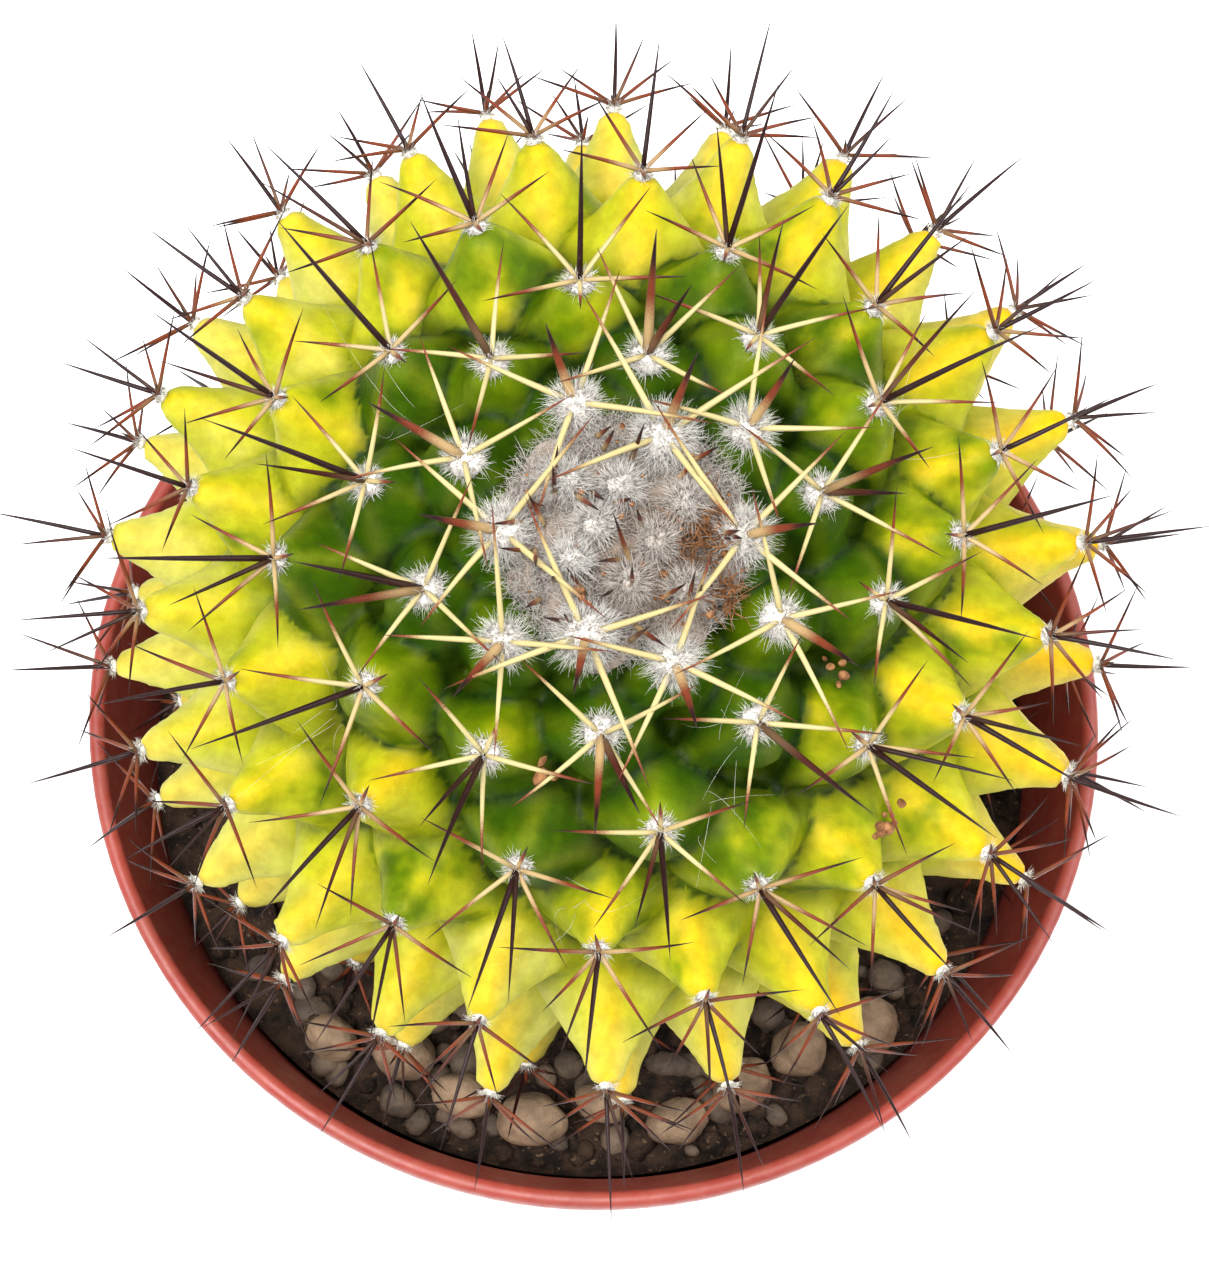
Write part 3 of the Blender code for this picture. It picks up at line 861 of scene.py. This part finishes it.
def makeLowerFlank():
    strands, down = [], Down()
    for pair, half in places:
        if pair >= growth["crownPairs"] + growth["clusterPairs"]:
            frameAt = areoleFrame(pair, half, growth["bodyRadius"])
            addSpineSet(strands, pair, half, frameAt)
            addPad(down, frameAt, *padSettings(pair), random.Random(pair * 2 + half))
    finishPiece("lower_flank_spines", spineShape(strands), hornMaterial)
    finishPiece("lower_flank_wool", down.finished(), downMaterial)
    report("lower flank spines")


makeClusters()
makeLowerFlank()


# The crown: a bed of matted down, the youngest pads on it, and short spines between them.

crown = {
    "edge": 12.5, "height": 0.0006, "sink": 0.0003, "hairs": 11000, "hairRadius": 0.000022,
    "hairLength": (0.0006, 0.0014), "youngest": -4, "padLift": 0.0007, "spineLift": 0.0006,
    "feltPolar": 4.5, "feltAround": -35, "bedStain": 0.6, "hairStain": 0.45, "padStain": 0.6,
    "shortSpines": 36, "shortEdge": 10.5, "shortLength": (0.002, 0.0052), "shortRadius": 0.00015,
}
feltWay = direction(math.radians(crown["feltPolar"]), math.radians(crown["feltAround"]))


def feltAt(way):
    # 1 in the brown felt round the growing point, and 0 outside it
    return 1 - fade(0.06, 0.17, (way - feltWay).length)


def makeCrownBed(dice):
    down = Down()
    edge, base = math.radians(crown["edge"]), growth["bodyRadius"] - crown["sink"]
    bmesh.ops.create_icosphere(down.shape, subdivisions=5, radius=1)
    for point in down.shape.verts:
        spot = point.co.copy()
        rough = 1 + 0.22 * noise.noise(Vector((spot.x, spot.y, 0)) * 2.2)
        polar = edge * min(1, math.hypot(spot.x, spot.y)) * rough
        way = direction(polar, math.atan2(spot.y, spot.x))
        lump = noise.noise(way * 26) * 0.0009 + noise.noise(way * 90) * 0.0004
        rise = crown["height"] * spot.z + lump if spot.z > 0 else 0.0006 * spot.z
        point.co = onBall(way, base + rise)
        # the bed's along stays 0, so its wool is painted in full shade
        point[down.stain] = mix(crown["bedStain"], 1, feltAt(way))
    for index in range(crown["hairs"]):
        polar = edge * math.sqrt(dice.uniform(0, 1.05))
        way = direction(polar, dice.uniform(0, math.tau))
        stain = mix(crown["hairStain"], 1, feltAt(way))
        dome = math.sqrt(max(0.05, 1 - (polar / edge) ** 2))
        start = onBall(way, base + crown["height"] * 0.75 * dome)
        lay = (stemTurn @ way + scatter(dice, 1, 1, 1) * 1.1).normalized()
        curl = scatter(dice, 0.6, 0.6, 0.4)
        length = dice.uniform(*crown["hairLength"]) * (1 - 0.4 * stain)
        down.hairs.append((start, lay, length, crown["hairRadius"], curl, stain))
    finishPiece("crown_down", down.finished(), downMaterial, "crown_wool")


def makeCrownPuffs(dice):
    down = Down()
    for pair in range(crown["youngest"], growth["crownPairs"]):
        for half in (0, 1):
            frameAt = areoleFrame(pair, half, growth["bodyRadius"] + crown["padLift"])
            radius, height, count, length = padSettings(max(pair, 0))
            stain = feltAt(direction(polarAngle(pair), aroundAngle(pair, half))) * crown["padStain"]
            share = 1 if pair >= 0 else 0.6
            hairs = int(count * share * 1.5)
            addPad(down, frameAt, radius * share * 0.9, height, hairs, length * 1.1, dice, stain, 3)
    finishPiece("crown_puffs", down.finished(), downMaterial, "crown_wool")


def makeCrownSpines(dice):
    spines, reach = [], growth["bodyRadius"] + crown["spineLift"]
    for pair in range(growth["crownPairs"]):
        for half in (0, 1):
            addSpineSet(spines, pair, half, areoleFrame(pair, half, reach))
    for index in range(crown["shortSpines"]):
        polar, around = crown["shortEdge"] * math.sqrt(dice.random()), dice.uniform(0, 360)
        start = stemPoint(polar, around, reach)
        loose = Vector((dice.uniform(-1, 1), dice.uniform(-1, 1), 0.5))
        way = ((start - growth["centre"]).normalized() + loose * 0.6).normalized()
        length, shade = dice.uniform(*crown["shortLength"]), dice.uniform(0.2, 0.8)
        spines.append((start, way, length, crown["shortRadius"], Vector((0, 0, 0)), 0.3, shade))
    finishPiece("crown_spines", spineShape(spines), hornMaterial, "crown_wool")


crownDice = random.Random(11)
makeCrownBed(crownDice)
makeCrownPuffs(crownDice)
makeCrownSpines(crownDice)
report("woolly crown")


# Soil, pebbles and grit.

soil = {
    "top": growth["soilTop"], "rise": 0.0003, "gap": 0.0003, "rough": 0.0007, "roughScale": 420,
    "grain": 0.00035, "grainScale": 1500, "turns": 150, "rings": 44, "sideRings": 12, "foot": 0.0036,
    "crumbs": 1100, "crumbSize": (0.00025, 0.0009),
    "dark": (0.006, 0.004, 0.003), "brown": (0.050, 0.028, 0.017), "fibre": (0.20, 0.12, 0.07),
}
stones = {
    "pebbles": 9, "detail": 4, "grit": 110, "gritSize": (0.0005, 0.0015), "gritReach": (0.0175, 0.0285),
    "frontShare": 0.62,
    "tanDark": (0.11, 0.07, 0.042), "tanLight": (0.34, 0.23, 0.14),
    "greyDark": (0.035, 0.025, 0.018), "greyLight": (0.19, 0.13, 0.085),
}
soilEdge = potInner(soil["top"]) - soil["gap"]


def soilEarth():
    made, tree, sockets = newMaterial("pottingSoil", 0.95, 0.2)
    coords = tree.objectCoords()
    tone = addMottle(tree, 700.0, 0.2, soil["dark"], soil["brown"], coords)
    fibre = tree.times(tree.between(tree.noise(coords, 2600.0, 3.0), 0.62, 0.7), 0.6)
    colour = tree.blend(fibre, tone["Color"], soil["fibre"])
    dressSurface(tree, sockets, colour, tone["Fine"], 0.8, 0.0004, (0.8, 1.0))
    return made


def stoneMaterial(name, dark, light):
    made, tree, sockets = newMaterial(name, 0.75, 0.35)
    coords = tree.objectCoords()
    tone = addMottle(tree, 420.0, 0.22, dark, light, coords)
    pits = tree.times(tree.between(tree.noise(coords, 2400.0, 4.0), 0.35, 0.5), 0.35)
    colour = tree.blend(pits, tree.blend(0.5, tone["Color"], dark), tone["Color"])
    dressSurface(tree, sockets, colour, tone["Fine"], 0.6, 0.0002, (0.6, 0.85))
    return made


earth = soilEarth()
tanStone = stoneMaterial("tanPebble", stones["tanDark"], stones["tanLight"])
greyStone = stoneMaterial("greyGrit", stones["greyDark"], stones["greyLight"])


def soilHeight(x, y):
    return soil["top"] + soil["rise"] + noise.noise(Vector((x, y, 0)) * soil["roughScale"]) * soil["rough"]


def addStone(shape, place, size, dice, detail, flat=0.7):
    first = len(shape.verts)
    turn = Matrix.Rotation(dice.uniform(0, math.tau), 4, "Z")
    turn = turn @ Matrix.Rotation(dice.uniform(-0.5, 0.5), 4, "X")
    wide, high = dice.uniform(0.7, 0.95), dice.uniform(flat - 0.1, flat + 0.1)
    form = Matrix.Diagonal((size, size * wide, size * high, 1))
    middle = Vector(place)
    bmesh.ops.create_icosphere(
        shape, subdivisions=detail, radius=1, matrix=Matrix.Translation(middle) @ turn @ form,
    )
    shape.verts.ensure_lookup_table()
    seed = scatter(dice, (0, 99), (0, 99), (0, 99))
    for point in shape.verts[first:]:
        apart = point.co - middle
        point.co = middle + apart * (1 + 0.26 * noise.noise(apart / size * 1.1 + seed))


def layOnSoil(shape, around, reach, size, dice, detail):
    x, y = reach * math.cos(around), reach * math.sin(around)
    addStone(shape, (x, y, soilHeight(x, y) + size * 0.3), size, dice, detail)


def makeSoil():
    top, foot, rings, sideRings = soil["top"], soil["foot"], soil["rings"], soil["sideRings"]
    footRadius = potInner(foot) - soil["gap"]
    profile = [(soilEdge * index / rings, top) for index in range(1, rings + 1)]
    profile += [
        (mix(soilEdge, footRadius, index / sideRings), mix(top, foot, index / sideRings))
        for index in range(1, sideRings + 1)
    ]
    profile.append((potInner(0.0022) - 0.0012, 0.0024))
    shape = turned(profile, soil["turns"])
    rims = [line for line in shape.edges if line.is_boundary]
    bmesh.ops.holes_fill(shape, edges=rims, sides=0)
    bmesh.ops.recalc_face_normals(shape, faces=shape.faces)
    for point in shape.verts:
        if point.co.z > top - 0.0001:
            near = 1 - fade(soilEdge - 0.0008, soilEdge, math.hypot(point.co.x, point.co.y))
            grain = noise.noise(point.co * soil["grainScale"]) * soil["grain"] * near
            point.co.z = mix(top, soilHeight(point.co.x, point.co.y), near) + grain
    finishPiece("soil_fill", shape, earth, "soil")


def makeCrumbs():
    dice = random.Random(3)
    crumbs = bmesh.new()
    for index in range(soil["crumbs"]):
        around, reach = dice.uniform(0, math.tau), soilEdge * math.sqrt(dice.uniform(0.02, 0.97))
        size = dice.uniform(*soil["crumbSize"]) * (1.6 if dice.random() < 0.12 else 1)
        layOnSoil(crumbs, around, min(reach, soilEdge - size), size, dice, 1)
    finishPiece("soil_crumbs", crumbs, earth)
    report("soil and crumbs")


def makePebbles():
    # each pebble fills its node's box
    for number in range(1, stones["pebbles"] + 1):
        low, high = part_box(f"pebble_{number}")
        middle, size = (low + high) / 2, (high - low) / 2
        shape = bmesh.new()
        bmesh.ops.create_icosphere(shape, subdivisions=stones["detail"], radius=1)
        form = Matrix.Diagonal((max(size.x, size.y), min(size.x, size.y) * 0.95, size.z, 1))
        turn = Matrix.Rotation(math.atan2(middle.y, middle.x) + math.pi / 2, 4, "Z")
        seed = Vector((random.Random(number).uniform(0, 99), 0, 0))
        for point in shape.verts:
            way = point.co.copy()
            dent = 0.16 * noise.noise(way * 1.2 + seed) + 0.05 * noise.noise(way * 4 + seed)
            dent += 0.012 * noise.noise(way * 14 + seed)
            point.co = way * (1 + dent)
        bmesh.ops.transform(shape, verts=shape.verts, matrix=Matrix.Translation(middle) @ turn @ form)
        finishPiece(f"round_pebble_{number}", shape, tanStone, f"pebble_{number}")


def makeGrit():
    dice = random.Random(8)
    grit = bmesh.new()
    for index in range(stones["grit"]):
        front = dice.random() < stones["frontShare"]
        around = math.radians(dice.uniform(-140, -20) if front else dice.uniform(-180, 180))
        size = dice.uniform(*stones["gritSize"])
        reach = min(dice.uniform(*stones["gritReach"]), soilEdge - size * 1.1)
        layOnSoil(grit, around, reach, size, dice, 2)
    finishPiece("loose_grit", grit, greyStone)
    report("pebbles and grit")


makeSoil()
makeCrumbs()
makePebbles()
makeGrit()


# The root keeps its CAD shape and gets a bark.

rootTones = {"dark": (0.14, 0.08, 0.04), "light": (0.36, 0.24, 0.13)}


def rootBark():
    made, tree, sockets = newMaterial("rootBark", 0.85, 0.3)
    tone = addMottle(tree, 500.0, 0.25, rootTones["dark"], rootTones["light"])
    dressSurface(tree, sockets, tone["Color"], tone["Fine"], 0.6, 0.0003)
    return made


bark = rootBark()
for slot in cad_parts["root"].material_slots:
    slot.material = bark


# Dried flowers on the crown, bits caught between the tubercles, and loose threads of wool.

debris = {
    "flowers": ((8.0, 2, 2.6, 150), (11.5, -30, 1.5, 60)),   # polar, around, spread, shreds
    "shredLength": (0.0006, 0.0018), "shredRadius": (0.00003, 0.00008),
    "bits": 46, "bitEdge": 11.5, "bitSize": (0.0001, 0.0003),
    "heaps": (                                               # polar, around, reach, size
        (27.8, -108, 0.0268, 0.0007), (27.2, -111, 0.0262, 0.0005), (29.3, -27.8, 0.0262, 0.0005),
        (46.5, -43.5, 0.0278, 0.0006), (45.8, -42.5, 0.0278, 0.0004), (22.4, 128, 0.0255, 0.0005),
    ),
    "heapBits": 5,
    "threads": (                                             # polar, around, reach
        (22, -59, 0.0285), (38.9, -148, 0.0275), (30, -70, 0.0285), (33, 25, 0.028), (28, 150, 0.028),
        (41, -95, 0.028),
    ),
    "threadCount": 5, "threadLength": (0.0015, 0.004), "threadRadius": 0.000013,
    "dark": (0.10, 0.035, 0.012), "light": (0.36, 0.17, 0.07),
}


def driedFlower():
    made, tree, sockets = newMaterial("driedFlower", 0.9, 0.2)
    tone = addMottle(tree, 1500.0, 0.2, debris["dark"], debris["light"])
    dressSurface(tree, sockets, tone["Color"], tone["Fine"], 0.5, 0.0001)
    return made


def makeDebris(dice):
    down, top = Down(), growth["bodyRadius"]
    for polar, around, spread, count in debris["flowers"]:
        for index in range(count):
            aside, along = dice.gauss(0, spread * 0.6), dice.gauss(0, spread * 4)
            start = stemPoint(polar + aside, around + along, top + dice.uniform(0.0004, 0.0016))
            way = scatter(dice, 1, 1, (-0.2, 0.6)).normalized()
            curl = scatter(dice, 0.5, 0.5, 0.3)
            length, radius = dice.uniform(*debris["shredLength"]), dice.uniform(*debris["shredRadius"])
            down.hairs.append((start, way, length, radius, curl, 0))
    for index in range(debris["bits"]):
        polar, around = debris["bitEdge"] * math.sqrt(dice.random()), dice.uniform(0, 360)
        spot = stemPoint(polar, around, top + 0.0012)
        addStone(down.shape, spot, dice.uniform(*debris["bitSize"]), dice, 1, 0.3)
    for polar, around, reach, size in debris["heaps"]:
        for index in range(debris["heapBits"]):
            aside, along = dice.gauss(0, 0.9), dice.gauss(0, 1.6)
            spot = stemPoint(polar + aside, around + along, reach + dice.uniform(-0.0002, 0.0004))
            addStone(down.shape, spot, size * dice.uniform(0.35, 0.8), dice, 2, 0.8)
    finishPiece("dried_flower_bits", down.finished(), driedFlower())


def makeThreads(dice):
    threads = []
    for polar, around, reach in debris["threads"]:
        for index in range(debris["threadCount"]):
            start = stemPoint(polar + dice.gauss(0, 1.4), around + dice.gauss(0, 2.6), reach)
            out = (start - growth["centre"]).normalized()
            way = (out * 0.3 + scatter(dice, 1, 1, 0.5)).normalized()
            curl = scatter(dice, 1.3, 1.3, 0.5)
            length = dice.uniform(*debris["threadLength"])
            threads.append((start, way, length, debris["threadRadius"], curl, 0.1))
    loose = joined(bentTubes(threadTube, threads, hairTaper, ("stain",)))
    finishPiece("loose_threads", loose, downMaterial)


debrisDice = random.Random(21)
makeDebris(debrisDice)
makeThreads(debrisDice)
report("dried flower and loose threads")


# Stage, light and camera.

stage = {"size": 4.0, "dark": (0.93, 0.93, 0.93), "light": (0.95, 0.95, 0.95), "world": 0.38}
lamps = {
    "key": {"place": (-0.22, -0.18, 0.8), "size": 0.7, "power": 15.5},
    "fill": {"place": (0.5, 0.1, 0.6), "size": 0.7, "power": 5.5},
    "aim": (0, 0, 0.06),
}
view = {
    "place": (0.00008, -0.07227, 0.267386), "elevation": 70, "roll": 5.889, "lens": 103.47,
    "sensor": 36, "clip": 0.01,
}


def makeFloor():
    shape = bmesh.new()
    bmesh.ops.create_grid(shape, x_segments=2, y_segments=2, size=stage["size"] / 2)
    mesh = meshOf("floor", shape)
    made, tree, sockets = newMaterial("paleFloor", 0.9, 0.1)
    tone = addMottle(tree, 6.0, 0.3, stage["dark"], stage["light"])
    tree.put(sockets["Base Color"], tone["Color"])
    mesh.materials.append(made)
    sceneObject("floor", mesh)


def makeLights():
    world = bpy.data.worlds.new("studio")
    world.use_nodes = True
    sky = world.node_tree.nodes["Background"].inputs
    sky["Color"].default_value = (1, 1, 1, 1)
    sky["Strength"].default_value = stage["world"]
    bpy.context.scene.world = world
    for name in ("key", "fill"):
        lamp = bpy.data.lights.new(name, "AREA")
        lamp.shape = "DISK"
        lamp.size = lamps[name]["size"]
        lamp.energy = lamps[name]["power"]
        held = sceneObject(name, lamp)
        held.location = lamps[name]["place"]
        towards = Vector(lamps["aim"]) - Vector(lamps[name]["place"])
        held.rotation_euler = towards.to_track_quat("-Z", "Y").to_euler()
    bpy.context.scene.view_settings.view_transform = "Standard"


def makeCamera():
    lens = bpy.data.cameras.new("camera")
    lens.lens = view["lens"]
    lens.sensor_width = view["sensor"]
    lens.sensor_fit = "HORIZONTAL"
    lens.clip_start = view["clip"]
    held = sceneObject("camera", lens)
    held.location = view["place"]
    down = math.radians(view["elevation"])
    look = Vector((0, math.cos(down), -math.sin(down))).to_track_quat("-Z", "Y").to_matrix()
    held.rotation_euler = (look @ Matrix.Rotation(math.radians(view["roll"]), 3, "Z")).to_euler()
    bpy.context.scene.camera = held


makeFloor()
makeLights()
makeCamera()

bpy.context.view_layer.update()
report("finished")
